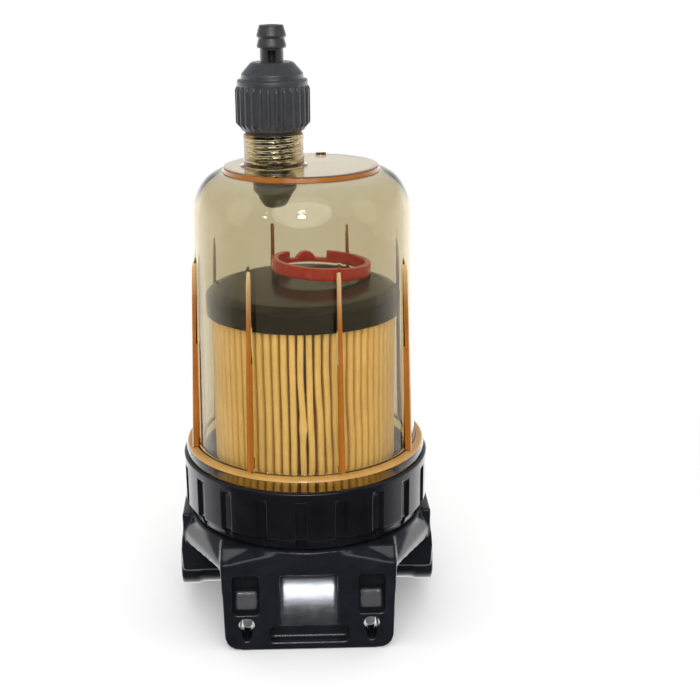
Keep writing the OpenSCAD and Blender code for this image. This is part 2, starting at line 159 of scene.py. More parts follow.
def combine(obj, tool, operation):
    """Joins tool to obj, or cuts it from obj, and drops tool."""
    mod = obj.modifiers.new("combine", "BOOLEAN")
    mod.operation, mod.object, mod.solver = operation, tool, "EXACT"
    apply_modifiers(obj)
    bpy.data.objects.remove(tool)


def smooth_shading(obj, angle=40):
    mesh = obj.data
    mesh.polygons.foreach_set("use_smooth", [True] * len(mesh.polygons))
    mesh.set_sharp_from_angle(angle=math.radians(angle))
    mesh.update()


def piece(obj, body, material, nodes=(), angle=40):
    """Finishes a piece: its material, its shading, the body it rides on and the CAD nodes it stands for."""
    obj.data.materials.clear()
    for m in material if isinstance(material, (list, tuple)) else [material]:
        obj.data.materials.append(m)
    if angle:
        smooth_shading(obj, angle)
    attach(obj, body)
    if nodes:
        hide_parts(*nodes)
    return obj


def step_up(x):
    """0 below 0, 1 above 1, smooth between."""
    x = max(0.0, min(1.0, x))
    return x * x * (3 - 2 * x)


def bump_shape(distance, half, edge):
    """1 within half of the middle, falling smoothly to 0 at half + edge."""
    return 1 - step_up((abs(distance) - half) / edge)


# ---------------------------------------------------------------- materials


def new_material(name):
    mat = bpy.data.materials.new(name)
    mat.use_nodes = True
    tree = mat.node_tree
    return mat, tree, tree.nodes["Principled BSDF"]


def noise(tree, scale, detail=4.0, rough=0.55, stretch=None):
    coords = tree.nodes.new("ShaderNodeTexCoord").outputs["Object"]
    if stretch:
        mapping = tree.nodes.new("ShaderNodeMapping")
        mapping.inputs["Scale"].default_value = stretch
        tree.links.new(coords, mapping.inputs["Vector"])
        coords = mapping.outputs["Vector"]
    node = tree.nodes.new("ShaderNodeTexNoise")
    node.inputs["Scale"].default_value = scale
    node.inputs["Detail"].default_value = detail
    node.inputs["Roughness"].default_value = rough
    tree.links.new(coords, node.inputs["Vector"])
    return node.outputs["Fac"]


def spread(tree, value, low, high, from_low=0.3, from_high=0.7):
    node = tree.nodes.new("ShaderNodeMapRange")
    for key, number in zip(("From Min", "From Max", "To Min", "To Max"), (from_low, from_high, low, high)):
        node.inputs[key].default_value = number
    tree.links.new(value, node.inputs["Value"])
    return node.outputs["Result"]


def two_tone(tree, value, first, second, low=0.3, high=0.7):
    node = tree.nodes.new("ShaderNodeValToRGB")
    node.color_ramp.elements[0].position, node.color_ramp.elements[1].position = low, high
    node.color_ramp.elements[0].color = (*first, 1)
    node.color_ramp.elements[1].color = (*second, 1)
    tree.links.new(value, node.inputs["Fac"])
    return node.outputs["Color"]


def add_bump(tree, shader, height, depth_mm, strength=1.0, edge_mm=0.0):
    bump = tree.nodes.new("ShaderNodeBump")
    bump.inputs["Strength"].default_value = strength
    bump.inputs["Distance"].default_value = depth_mm * MM
    tree.links.new(height, bump.inputs["Height"])
    if edge_mm:
        bevel = tree.nodes.new("ShaderNodeBevel")
        bevel.samples = 6
        bevel.inputs["Radius"].default_value = edge_mm * MM
        tree.links.new(bevel.outputs["Normal"], bump.inputs["Normal"])
    tree.links.new(bump.outputs["Normal"], shader.inputs["Normal"])


def solid_material(name, dark, light, rough, coarse, fine, depth_mm, edge_mm=0.0, stretch=None, **sockets):
    """Opaque finish with a mottled colour, an uneven gloss and a fine surface grain."""
    mat, tree, shader = new_material(name)
    patches = noise(tree, coarse, stretch=stretch)
    tree.links.new(two_tone(tree, patches, dark, light), shader.inputs["Base Color"])
    tree.links.new(spread(tree, noise(tree, coarse * 2.3), *rough), shader.inputs["Roughness"])
    add_bump(tree, shader, noise(tree, fine, 3.0), depth_mm, edge_mm=edge_mm)
    for key, value in sockets.items():
        shader.inputs[key.replace("_", " ")].default_value = value
    return mat


def casting_material():
    """Semi-gloss black paint over a fine cast skin, painted lighter along its edges: partly wear, partly
    painted edge highlight.
    """
    mat, tree, shader = new_material("black_casting")
    patches = noise(tree, 90)
    paint = two_tone(tree, patches, (0.006, 0.0064, 0.009), (0.011, 0.0118, 0.016))
    # Sharp edges are painted lighter: partly wear, partly a painted highlight along the rounded edges.
    edges = tree.nodes.new("ShaderNodeNewGeometry").outputs["Pointiness"]
    worn_and_highlit_edges = spread(tree, edges, 0.0, 0.5, 0.54, 0.62)
    mix = tree.nodes.new("ShaderNodeMix")
    mix.data_type = "RGBA"
    tree.links.new(worn_and_highlit_edges, mix.inputs["Factor"])
    tree.links.new(paint, mix.inputs["A"])
    mix.inputs["B"].default_value = (0.045, 0.048, 0.057, 1)
    tree.links.new(mix.outputs["Result"], shader.inputs["Base Color"])
    tree.links.new(spread(tree, noise(tree, 160), 0.17, 0.25), shader.inputs["Roughness"])
    add_bump(tree, shader, noise(tree, 620, 4.0), 0.05)
    shader.inputs["Specular IOR Level"].default_value = 0.32
    shader.inputs["Coat Weight"].default_value = 0.15
    shader.inputs["Coat Roughness"].default_value = 0.12
    return mat


def let_lamps_in(tree, shader):
    """Lets shadow rays pass, so that the lamps reach what is behind the surface."""
    lamp_way = tree.nodes.new("ShaderNodeBsdfTransparent")
    lamp_way.inputs["Color"].default_value = (0.97, 0.95, 0.9, 1)
    mix = tree.nodes.new("ShaderNodeMixShader")
    path = tree.nodes.new("ShaderNodeLightPath")
    tree.links.new(path.outputs["Is Shadow Ray"], mix.inputs["Fac"])
    tree.links.new(shader.outputs["BSDF"], mix.inputs[1])
    tree.links.new(lamp_way.outputs["BSDF"], mix.inputs[2])
    tree.links.new(mix.outputs["Shader"], tree.nodes["Material Output"].inputs["Surface"])


def painted_glow_material(name, foot, tip, low=0.0, high=1.0):
    """Opaque amber with painted glow, standing in for light shining through thick amber, from foot to tip
    colour between two heights in metres.
    """
    mat, tree, shader = new_material(name)
    split = tree.nodes.new("ShaderNodeSeparateXYZ")
    tree.links.new(tree.nodes.new("ShaderNodeTexCoord").outputs["Object"], split.inputs[0])
    # Painted glow: foot to tip colour by height, standing in for light through the amber.
    glow = two_tone(tree, split.outputs["Z"], foot, tip, low, high)
    mix = tree.nodes.new("ShaderNodeMix")
    mix.data_type, mix.blend_type = "RGBA", "MULTIPLY"
    mix.inputs["Factor"].default_value = 1.0
    tree.links.new(glow, mix.inputs["A"])
    tree.links.new(two_tone(tree, noise(tree, 70), (0.78, 0.74, 0.7), (1, 1, 1)), mix.inputs["B"])
    tree.links.new(mix.outputs["Result"], shader.inputs["Base Color"])
    tree.links.new(spread(tree, noise(tree, 120), 0.06, 0.15), shader.inputs["Roughness"])
    add_bump(tree, shader, noise(tree, 60, 2.0), 0.12)
    let_lamps_in(tree, shader)
    return mat


def clear_amber():
    """Clear amber plastic: it bends light, absorbs along the real path through it and lets lamps in."""
    mat, tree, shader = new_material("amber_bowl")
    shader.inputs["Base Color"].default_value = (0.77, 0.76, 0.71, 1)
    shader.inputs["Transmission Weight"].default_value = 1.0
    shader.inputs["IOR"].default_value = 1.49
    tree.links.new(spread(tree, noise(tree, 60), 0.012, 0.03), shader.inputs["Roughness"])
    add_bump(tree, shader, noise(tree, 28, 2.0), 0.16, 0.35)
    let_lamps_in(tree, shader)
    absorb = tree.nodes.new("ShaderNodeVolumeAbsorption")
    absorb.inputs["Color"].default_value = (0.80, 0.60, 0.0, 1)
    absorb.inputs["Density"].default_value = 105.0
    tree.links.new(absorb.outputs["Volume"], tree.nodes["Material Output"].inputs["Volume"])
    return mat


def paper_material():
    """Resin-treated filter paper: fibres that run up the folds, under broad darker and paler patches."""
    mat, tree, shader = new_material("filter_paper")
    fibres = noise(tree, 900, 6.0, 0.7, stretch=(1, 1, 0.25))
    cloth = two_tone(tree, fibres, (0.86, 0.60, 0.26), (0.97, 0.75, 0.37), 0.25, 0.75)
    patches = noise(tree, 45, 2.0)
    mix = tree.nodes.new("ShaderNodeMix")
    mix.data_type, mix.blend_type = "RGBA", "MULTIPLY"
    mix.inputs["Factor"].default_value = 1.0
    tree.links.new(cloth, mix.inputs["A"])
    tree.links.new(two_tone(tree, patches, (0.86, 0.84, 0.78), (1, 1, 1)), mix.inputs["B"])
    tree.links.new(mix.outputs["Result"], shader.inputs["Base Color"])
    shader.inputs["Roughness"].default_value = 0.72
    shader.inputs["Specular IOR Level"].default_value = 0.3
    add_bump(tree, shader, noise(tree, 2400, 3.0), 0.06)
    return mat


CASTING = casting_material()
BARE = solid_material(
    "bare_boss", (0.42, 0.44, 0.48), (0.52, 0.54, 0.58), (0.3, 0.4), 120, 900, 0.02,
    stretch=(1, 6, 6), Metallic=1.0
)
COLLAR = solid_material(
    "black_collar", (0.003, 0.003, 0.005), (0.006, 0.006, 0.009), (0.16, 0.24), 70, 500, 0.03
)
AMBER = clear_amber()
# Painted glow of light through thick amber: ribs deep orange at the foot and paler cream towards the tip,
# riser orange, flange bead gold.
RIB_GLOW = painted_glow_material("amber_rib_painted_glow", (0.34, 0.115, 0.014), (0.60, 0.45, 0.22), 0.135, 0.156)
RISER_GLOW = painted_glow_material("amber_riser_painted_glow", (0.33, 0.115, 0.018), (0.33, 0.115, 0.018))
BEAD_GLOW = painted_glow_material("amber_bead_painted_glow", (0.47, 0.265, 0.075), (0.47, 0.265, 0.075))
CAP = solid_material(
    "element_cap", (0.004, 0.0035, 0.003), (0.008, 0.007, 0.006), (0.12, 0.2), 60, 380, 0.05,
    Specular_IOR_Level=0.1
)
PAPER = paper_material()
STEEL = solid_material(
    "plated_steel", (0.52, 0.53, 0.55), (0.68, 0.69, 0.71), (0.22, 0.36), 150, 1400, 0.015,
    edge_mm=0.3, stretch=(1, 1, 8), Metallic=1.0
)
RUBBER = solid_material(
    "rubber_seal", (0.012, 0.012, 0.012), (0.022, 0.022, 0.023), (0.5, 0.65), 200, 1800, 0.03, edge_mm=0.3
)
RED = solid_material(
    "red_float", (0.29, 0.006, 0.002), (0.40, 0.011, 0.003), (0.2, 0.3), 90, 500, 0.03, Coat_Weight=0.1
)
KNOB = solid_material(
    "drain_plastic", (0.030, 0.031, 0.035), (0.042, 0.043, 0.048), (0.28, 0.36), 220, 1500, 0.05
)
BARB = solid_material(
    "barb_plastic", (0.024, 0.024, 0.026), (0.034, 0.034, 0.037), (0.26, 0.36), 220, 1500, 0.05
)
STEM = solid_material(
    "stem_plastic", (0.012, 0.012, 0.011), (0.020, 0.020, 0.018), (0.16, 0.26), 220, 1500, 0.04
)
PLUG = solid_material(
    "plug_plastic", (0.048, 0.050, 0.032), (0.066, 0.068, 0.045), (0.3, 0.42), 220, 1500, 0.04
)

NODE_MATERIALS = {
    "black_casting": CASTING, "black_collar": COLLAR, "amber_bowl": AMBER, "element_cap": CAP,
    "filter_paper": PAPER, "plated_steel": STEEL, "rubber_seal": RUBBER, "red_float": RED,
    "drain_plastic": KNOB, "barb_plastic": BARB, "stem_plastic": STEM,
}
for part in frame["record"]["subparts"]:
    node = frame["nodes"][part["node"]]
    finish_of_node = NODE_MATERIALS[part["material_slot"]]
    if not node.material_slots:
        node.data.materials.append(finish_of_node)
    for holder in node.material_slots:
        holder.material = finish_of_node

# ---------------------------------------------------------------- head


def skirt_filler():
    """Hull that sweeps from the collar's foot to the plate's top edge and the two ears."""
    foot_r, foot_z = 48.6, 43.4
    points = [(foot_r * math.cos(a), foot_r * math.sin(a), foot_z) for a in around(96)]
    points += [(x, y, z) for x in (-34.4, 34.4) for y in (-48.0, -40.0) for z in (35.8, 37.9)]
    points += [(side * 52.2, y, z) for side in (-1, 1) for y in (-11.0, 12.0) for z in (31.0, 36.5)]
    bm = bmesh.new()
    corners = [bm.verts.new(Vector(p) * MM) for p in points]
    hull = bmesh.ops.convex_hull(bm, input=corners)
    spare = [v for v in hull["geom_interior"] + hull["geom_unused"] if isinstance(v, bmesh.types.BMVert)]
    bmesh.ops.delete(bm, geom=list(set(spare)), context="VERTS")
    return bm


def head_piece():
    """The head's CAD solid as a casting has it, with every edge and inner corner run round."""
    source = frame["nodes"]["head_casting"]
    mesh = source.data.copy()
    both = skirt_filler()
    both.from_mesh(mesh)
    both.to_mesh(mesh)
    both.free()
    obj = bpy.data.objects.new("head_cast", mesh)
    scene.collection.objects.link(obj)
    remesh = obj.modifiers.new("skin", "REMESH")
    remesh.mode, remesh.voxel_size, remesh.use_smooth_shade = "VOXEL", 0.75 * MM, True
    soften = obj.modifiers.new("soften", "SMOOTH")
    soften.factor, soften.iterations = 0.5, 6
    apply_modifiers(obj)
    obj = piece(obj, "head", [CASTING, BARE], ["head_casting"], angle=0)
    obj.data.polygons.foreach_set("use_smooth", [True] * len(obj.data.polygons))
    for face in obj.data.polygons:
        x, y, z = (c / MM for c in face.center)
        in_window = abs(x) < 11.6 and -46.5 < y < -28 and 9 < z < 34
        face.material_index = int(in_window and face.normal.y < -0.2)
    return obj


head_piece()

# ---------------------------------------------------------------- collar

COLLAR_R, COLLAR_Z0, COLLAR_Z1 = 50.8, 44.5, 69.26
GROOVES = 20


def collar_piece():
    centres = [(k + 0.83) * TURN / GROOVES for k in range(GROOVES)]
    offsets = [o / COLLAR_R for o in (-3.0, -2.6, -2.3, -2.0, -1.7, -1.0, 0, 1.0, 1.7, 2.0, 2.3, 2.6, 3.0)]
    outline = dense(rounded([
        (46.98, 56.75, 0), (44.95, 56.75, 0.2), (44.95, COLLAR_Z0 + 0.02, 0.3), (48.3, COLLAR_Z0 + 0.02, 0.8),
        (49.3, 48.0, 0.8), (COLLAR_R, 49.4, 1.2), (COLLAR_R, COLLAR_Z1 - 0.4, 0.9), (50.0, COLLAR_Z1, 0.5),
        (47.0, COLLAR_Z1, 0.2), (46.98, 56.75, 0),
    ]), 0.9)

    def grooved(r, z, a):
        nearest = min(abs((a - c + math.pi) % TURN - math.pi) for c in centres) * COLLAR_R
        depth = 1.25 * bump_shape(nearest, 1.75, 0.7) * step_up((COLLAR_Z1 - 3.4 - z) / 1.2)
        return (r - depth * step_up((r - 47.6) / 1.5), z)

    angles = around_features(centres, offsets, 0.05)
    obj = mesh_object("collar_grip", *revolve(outline[:-1], angles, grooved, closed=True))
    return piece(obj, "bowl", COLLAR, ["collar"], angle=50)


collar_piece()

# ---------------------------------------------------------------- bowl

FLANGE_Z0, FLANGE_Z1, FLANGE_R = 69.3, 74.7, 49.5
SHOULDER_Z, TOP_Z, FLAT_R = 166.8, 187.2, 30.8
WALL_R0, WALL_R1, WALL = 45.6, 43.6, 2.8
RIBS, RIB_ANGLE, RIB_TIP_Z = 8, math.radians(-73 + 45), 154.4
DRAIN_X = -10.5
NECK_R, NECK_BORE, NECK_Z1 = 11.85, 8.7, 199.7
STEP = 1.9
THREAD_PITCH, NECK_THREAD = 2.0, 0.9


def wall_radius(z, foot, top):
    return foot + (top - foot) * (z - FLANGE_Z1) / (SHOULDER_Z - FLANGE_Z1)


def shoulder(cr, cz, rr, rz, steps=22):
    """Quarter of an ellipse about (cr, cz), from its side up to its top."""
    turns = [math.pi / 2 * k / steps for k in range(steps + 1)]
    return [(cr + rr * math.cos(a), cz + rz * math.sin(a)) for a in turns]


def thread_wave(z, a, z0, z1, flat, slope):
    """0 between the turns of the drain's helical thread and 1 on them, fading out at z0 and z1."""
    phase = ((z - z0) / THREAD_PITCH - a / TURN) % 1.0
    ends = step_up((z - z0) / 1.5) * step_up((z1 - z) / 1.5)
    return ends * (1 - step_up((abs(phase - 0.5) - flat) / slope))


def bowl_piece():
    outer_arc = shoulder(FLAT_R + 0.8, SHOULDER_Z, WALL_R1 - FLAT_R - 0.8, TOP_Z - STEP - SHOULDER_Z)
    inner_arc = shoulder(FLAT_R, SHOULDER_Z - 1, WALL_R1 - WALL - FLAT_R, TOP_Z - WALL - SHOULDER_Z + 1)
    below = rounded([
        (43.0, 90.0, 0), (43.0, 69.3, 2.0), (43.0, 64.7, 0.3), (44.7, 64.7, 0.3), (44.7, 61.9, 0.3),
        (43.0, 61.9, 0.3), (43.0, 58.65, 0.5), (46.88, 58.65, 0.8), (46.88, FLANGE_Z0, 0.3),
        (FLANGE_R, FLANGE_Z0, 0.7), (FLANGE_R, FLANGE_Z1, 2.1), (WALL_R0 + 0.02, FLANGE_Z1, 0.7),
        (WALL_R0 - 0.1, FLANGE_Z1 + 6, 0),
    ])
    below[0] = (WALL_R0 - WALL - 0.05, FLANGE_Z1 + 3)
    outline = [(0, TOP_Z - WALL)] + [(r, z) for r, z in inner_arc[::-1]] + below + outer_arc
    outline += rounded([(FLAT_R + 0.75, TOP_Z - STEP, 0), (FLAT_R, TOP_Z - STEP + 0.05, 0.25),
                        (FLAT_R - 0.25, TOP_Z, 0.5), (0, TOP_Z, 0)])[1:]
    outline = dense(outline, 2.6)
    centres = [RIB_ANGLE + k * TURN / RIBS for k in range(RIBS)]
    offsets = [o / WALL_R0 for o in (-2.5, -2.1, -1.8, -1.5, -1.2, -0.9, -0.6, -0.3, 0,
                                     0.3, 0.6, 0.9, 1.2, 1.5, 1.8, 2.1, 2.5)]

    def ribbed(r, z, a):
        if z < FLANGE_Z1 + 0.1 or z > RIB_TIP_Z + 1 or r < wall_radius(z, WALL_R0, WALL_R1) - 0.3:
            return (r, z)
        along = (z - FLANGE_Z1) / (RIB_TIP_Z - FLANGE_Z1)
        half = 0.75 + (0.3 - 0.75) * along
        height = (2.5 + (1.35 - 2.5) * along) * step_up((RIB_TIP_Z + 0.5 - z) / 5)
        nearest = min(abs((a - c + math.pi) % TURN - math.pi) for c in centres) * r
        return (r + height * bump_shape(nearest, half, 0.6), z)

    angles = around_features(centres, offsets, 0.035)
    obj = mesh_object("bowl_clear", *revolve(outline, angles, ribbed))
    neck = rounded([(0, TOP_Z - 1.2, 0), (NECK_R + 1.7, TOP_Z - 1.2, 0), (NECK_R + 1.5, TOP_Z + 0.05, 0.1),
                    (NECK_R, TOP_Z + 0.3, 1.3), (NECK_R, NECK_Z1, 0.4), (0, NECK_Z1, 0)])
    tool = mesh_object("neck_tool", *revolve(neck, around(96), centre=(DRAIN_X, 0)))
    combine(obj, tool, "UNION")
    nub = rounded([(0, TOP_Z - 1, 0), (2.6, TOP_Z - 1, 0), (2.3, TOP_Z + 0.1, 0.1),
                   (2.2, TOP_Z + 0.95, 0.4), (0, TOP_Z + 1, 0)])
    combine(obj, mesh_object("nub_tool", *revolve(nub, around(32), centre=(8.5, 24))), "UNION")
    bore = [(0, TOP_Z - WALL - 2), (NECK_BORE, TOP_Z - WALL - 2), (NECK_BORE, NECK_Z1 + 2), (0, NECK_Z1 + 2)]
    thread_z0, thread_z1 = TOP_Z + 1.0, NECK_Z1 - 0.6
    bore[2:2] = [(NECK_BORE, thread_z0 + (thread_z1 - thread_z0) * k / 72) for k in range(73)]

    def tapped(r, z, a):
        if r < NECK_BORE - 0.1:
            return (r, z)
        return (r + NECK_THREAD * thread_wave(z, a, thread_z0, thread_z1, 0.12, 0.3), z)

    bore_tool = mesh_object("bore_tool", *revolve(bore, around(96), tapped, centre=(DRAIN_X, 0)))
    combine(obj, bore_tool, "DIFFERENCE")
    obj = piece(obj, "bowl", [AMBER, RIB_GLOW, RISER_GLOW, BEAD_GLOW], ["bowl"], angle=32)
    # Rib faces, riser sides and the flange bead's upward-facing faces take the painted glow materials.
    rib, riser, bead = 1, 2, 3
    for face in obj.data.polygons:
        z, r = face.center.z / MM, math.hypot(face.center.x, face.center.y) / MM
        if FLANGE_Z1 + 0.4 < z < RIB_TIP_Z + 1 and r > wall_radius(z, WALL_R0, WALL_R1) + 0.3:
            face.material_index = rib
        elif TOP_Z - STEP - 0.1 < z < TOP_Z and abs(r - FLAT_R) < 1 and abs(face.normal.z) < 0.75:
            face.material_index = riser
        elif FLANGE_Z1 - 2.7 < z < FLANGE_Z1 + 0.4 and r > WALL_R0 + 0.7 and face.normal.z > 0.2:
            face.material_index = bead
    return obj


bowl_piece()

# ---------------------------------------------------------------- filter element

CAP_R, CAP_Z0, CAP_Z1 = 39.3, 129.5, 137.3


def cap_piece():
    outline = rounded([
        (0, 131.7, 0), (14.2, 131.7, 0), (14.2, 130.5, 0), (37.9, 130.5, 0), (37.9, CAP_Z0, 0.2),
        (CAP_R, CAP_Z0, 0.5), (CAP_R, CAP_Z1 - 0.2, 0.9), (CAP_R - 1, CAP_Z1 + 0.4, 0.5),
        (34, CAP_Z1 + 1.7, 3), (20, CAP_Z1 + 2.15, 5), (0, CAP_Z1 + 2.15, 0),
    ])
    obj = mesh_object("cap_top", *revolve(dense(outline, 3), around(160)))
    return piece(obj, "element", CAP, ["element_top_cap"], angle=50)


cap_piece()

PLEATS, PLEAT_R, PLEAT_INNER = 70, 37.05, 15.35
PLEAT_Z0, PLEAT_Z1 = 61.05, 130.45
PAPER_T = 0.4


def sway_of(index, z, draw):
    """How far the outer bend of a fold leans sideways at height z, in mm."""
    up = (z - PLEAT_Z0) / (PLEAT_Z1 - PLEAT_Z0)
    pinned = math.sin(math.pi * min(1.0, up * 0.75 + 0.25)) ** 0.8
    slow = 0.55 * math.sin(TURN * up * 0.9 + 0.11 * index + draw[0])
    quick_part = 0.22 * math.sin(TURN * up * (1.6 + 0.8 * draw[1]) + draw[2])
    return (slow + quick_part) * pinned + 0.5 * (1 - up) ** 2


def pleats_piece():
    rng = random.Random(11)
    levels = 44
    pitch = TURN / PLEATS
    front = -math.pi / 2
    draws = [(rng.uniform(-0.5, 0.5), rng.random(), rng.uniform(0, TURN)) for _ in range(PLEATS)]
    width_of = [rng.uniform(0.92, 1.08) for _ in range(PLEATS)]
    # (fold counted from the front, height of the middle, spread of it, sideways push, widening)
    kinks = [(-0.5, 91, 3.2, 0.1, 0.5), (0.5, 84, 14, -0.15, 0.0), (1.5, 74, 16, 0.55, 0.0),
             (2.5, 72, 14, 0.35, -0.1), (3.5, 96, 30, 0.2, 0.22), (5.5, 80, 14, 0.25, 0.0)]
    half_r = [(0.336, PLEAT_INNER + 0.7), (0.54, 24.0), (0.78, 33.0), (0.96, PLEAT_R - 1.1)]
    loops_out, loops_in = [], []
    for level in range(levels + 1):
        z = PLEAT_Z0 + (PLEAT_Z1 - PLEAT_Z0) * level / levels
        line = []
        for i in range(PLEATS):
            middle = i * pitch
            from_front = ((middle - front + math.pi) % TURN - math.pi) / pitch
            push, widen = sway_of(i, z, draws[i]), width_of[i]
            calm = 0.3 if from_front < -0.6 else 0.4 + 0.4 * math.exp(-(from_front / 9) ** 2)
            push *= calm
            for place, height, spread_mm, side, wide in kinks:
                if abs(from_front - place) < 0.3:
                    near = math.exp(-(((z - height) / spread_mm) ** 2))
                    push += side * near
                    widen += wide * near

            def point(s, r):
                grow = (r / PLEAT_R) ** 3
                s = s * (1 + (widen - 1) * grow) + push * grow
                a = middle + s / r
                return (r * math.cos(a), r * math.sin(a))

            line += [point(-h, r) for h, r in half_r]
            line += [point(-0.92, PLEAT_R - 0.45), point(-0.63, PLEAT_R - 0.12), point(0, PLEAT_R),
                     point(0.63, PLEAT_R - 0.12), point(0.92, PLEAT_R - 0.45)]
            line += [point(h, r) for h, r in half_r[::-1]]
            a = middle + pitch / 2
            line.append((PLEAT_INNER * math.cos(a), PLEAT_INNER * math.sin(a)))
        pts = np.array(line)
        along = np.roll(pts, -1, 0) - np.roll(pts, 1, 0)
        along /= np.linalg.norm(along, axis=1, keepdims=True)
        normal = np.stack([along[:, 1], -along[:, 0]], 1)
        for loops, sign in ((loops_out, 0.5), (loops_in, -0.5)):
            moved = pts + normal * PAPER_T * sign
            loops.append([(x, y, z) for x, y in moved])
    count = len(loops_out[0])
    verts = [p for loop in loops_out + loops_in for p in loop]
    shift = (levels + 1) * count
    faces = []
    for level in range(levels):
        for k in range(count):
            a, b = level * count + k, level * count + (k + 1) % count
            faces.append((a, b, b + count, a + count))
            faces.append((shift + b, shift + a, shift + a + count, shift + b + count))
    for base in (0, levels * count):
        for k in range(count):
            a, b = base + k, base + (k + 1) % count
            faces.append((a, shift + a, shift + b, b))
    obj = mesh_object("pleats", verts, faces)
    sectors = [n for n in frame["nodes"] if n.startswith("pleat")]
    return piece(obj, "element", PAPER, sectors, angle=60)


pleats_piece()

# ---------------------------------------------------------------- float ring


def float_piece():
    """Ring of rectangular section with rounded edges; its rear wall is cut low, with a half-round tab."""
    outer, wall, height = 20.8, 2.6, 5.0
    low = 1.8
    gap_middle, gap_half = math.radians(90 + 18.5), 9.8 / outer
    tab_half, tab_z, edge = 5.2, -0.6, 0.25 / outer

    def top_of(a):
        off = (a - gap_middle + math.pi) % TURN - math.pi
        sides = step_up((abs(off) - gap_half) / edge)
        across = abs(off) * outer
        tab = low if across > tab_half else tab_z + math.sqrt(max(0, tab_half ** 2 - across ** 2))
        return max(low, min(height - 0.4, tab)) * (1 - sides) + height * sides

    marks = [gap_middle - gap_half, gap_middle + gap_half]
    fine = [k * 0.05 / outer for k in range(-8, 9)]
    angles = around_features(marks + [gap_middle], fine + [k * 0.4 / outer for k in range(-14, 15)], 0.03)
    angles = sorted(set(round(a, 6) for a in angles))
    section = rounded([(outer - wall, 0.6, 0), (outer - wall, 0, 0.45), (outer, 0, 0.45), (outer, 1, 0.7),
                       (outer, 1 + 1e-3, 0), (outer, 1.8, 0.4), (outer - wall, 1.8, 0.4),
                       (outer - wall, 0.6, 0)], 4)
    section = [(r, z) for r, z in section[:-1]]

    def shaped(r, z, a):
        return (r, z if z < 1.3 else z - 1.8 + top_of(a))

    obj = mesh_object("float_red", *revolve(section, angles, shaped, closed=True))
    place = Matrix.Translation((7.9 * MM, 14.4 * MM, (CAP_Z1 + 3.4) * MM))
    tilt = Matrix.Rotation(math.radians(3.6), 4, "Y") @ Matrix.Rotation(math.radians(-2.3), 4, "X")
    obj.data.transform(place @ tilt)
    return piece(obj, "float", RED, ["float_ring"], angle=45)


float_piece()

# ---------------------------------------------------------------- drain valve

KNOB_Z0, KNOB_Z1, KNOB_R, RIDGES = 201.0, 226.8, 14.5, 28
HOSE_Z1 = 240.4


def knob_piece():
    root = KNOB_R - 0.95
    centres = [(k + 0.5) * TURN / RIDGES for k in range(RIDGES)]
    offsets = [o / KNOB_R for o in (-0.95, -0.7, -0.5, -0.3, 0, 0.3, 0.5, 0.7, 0.95)]
    bore = 5.45
    outline = dense(rounded([
        (bore, KNOB_Z0 + 10, 0), (bore, KNOB_Z0, 0.4), (root - 1.3, KNOB_Z0, 0.6), (root, KNOB_Z0 + 3.1, 1.2),
        (root, KNOB_Z0 + 17.1, 0), (root + 0.15, KNOB_Z0 + 17.5, 0.3), (root + 0.1, KNOB_Z0 + 19.2, 0.8),
        (root - 1.5, KNOB_Z0 + 19.5, 0.4), (root - 1.6, KNOB_Z0 + 21.4, 0.8), (8.5, KNOB_Z1 - 0.5, 1.4),
        (7.6, KNOB_Z1 - 0.05, 0.4), (bore, KNOB_Z1 - 0.05, 0.3), (bore, KNOB_Z0 + 10, 0),
    ]), 0.8)

    def ridged(r, z, a):
        if r < root - 2.6 or z > KNOB_Z0 + 17.2:
            return (r, z)
        nearest = min(abs((a - c + math.pi) % TURN - math.pi) for c in centres) * KNOB_R
        reach = step_up((z - KNOB_Z0 - 0.6) / 2.6) * step_up((KNOB_Z0 + 17 - z) / 1.2)
        return (r + 0.93 * bump_shape(nearest, 0.35, 0.5) * reach, z)

    angles = around_features(centres, offsets, 0.05)
    obj = mesh_object("knob_grip", *revolve(outline[:-1], angles, ridged, closed=True, centre=(DRAIN_X, 0)))
    return piece(obj, "drain", KNOB, ["drain_knob"], angle=50)


def barb_piece():
    hose, barb, bore = 4.5, 5.7, 2.6
    top = HOSE_Z1
    outline = dense(rounded([
        (bore, 226, 0), (bore, 213.4, 0), (5.4, 213.4, 0.2), (5.4, KNOB_Z1 - 0.1, 0.1),
        (hose + 0.1, KNOB_Z1 - 0.05, 0.1), (hose, KNOB_Z1 + 0.4, 0.3), (hose, top - 8.7, 0.3),
        (barb - 0.15, top - 8.4, 0.25), (barb, top - 7.7, 0.3), (barb - 0.75, top - 4.95, 0.2),
        (barb - 0.1, top - 4.4, 0.25), (barb, top - 3.8, 0.3), (hose + 0.25, top - 0.5, 0.4),
        (hose - 0.1, top - 0.02, 0.3), (bore + 0.3, top - 0.02, 0.2), (bore, top - 0.4, 0.2), (bore, 226, 0),
    ], 4), 1.0)
    obj = mesh_object("barb_tube", *revolve(outline[:-1], around(72), closed=True, centre=(DRAIN_X, 0)))
    low, high = (-1.7, -5.6, KNOB_Z1), (1.7, -2.2, top - 9.2)
    box = bmesh.new()
    bmesh.ops.create_cube(box, size=1.0)
    slot_mesh = bpy.data.meshes.new("slot_tool")
    box.to_mesh(slot_mesh)
    box.free()
    middle = [(a + b) / 2 * MM for a, b in zip(low, high)]
    size = [(b - a) * MM for a, b in zip(low, high)]
    place = Matrix.Translation((middle[0] + DRAIN_X * MM, middle[1], middle[2]))
    slot_mesh.transform(place @ Matrix.Diagonal((*size, 1)))
    tool = bpy.data.objects.new("slot_tool", slot_mesh)
    scene.collection.objects.link(tool)
    combine(obj, tool, "DIFFERENCE")
    return piece(obj, "drain", BARB, ["drain_barb"], angle=35)


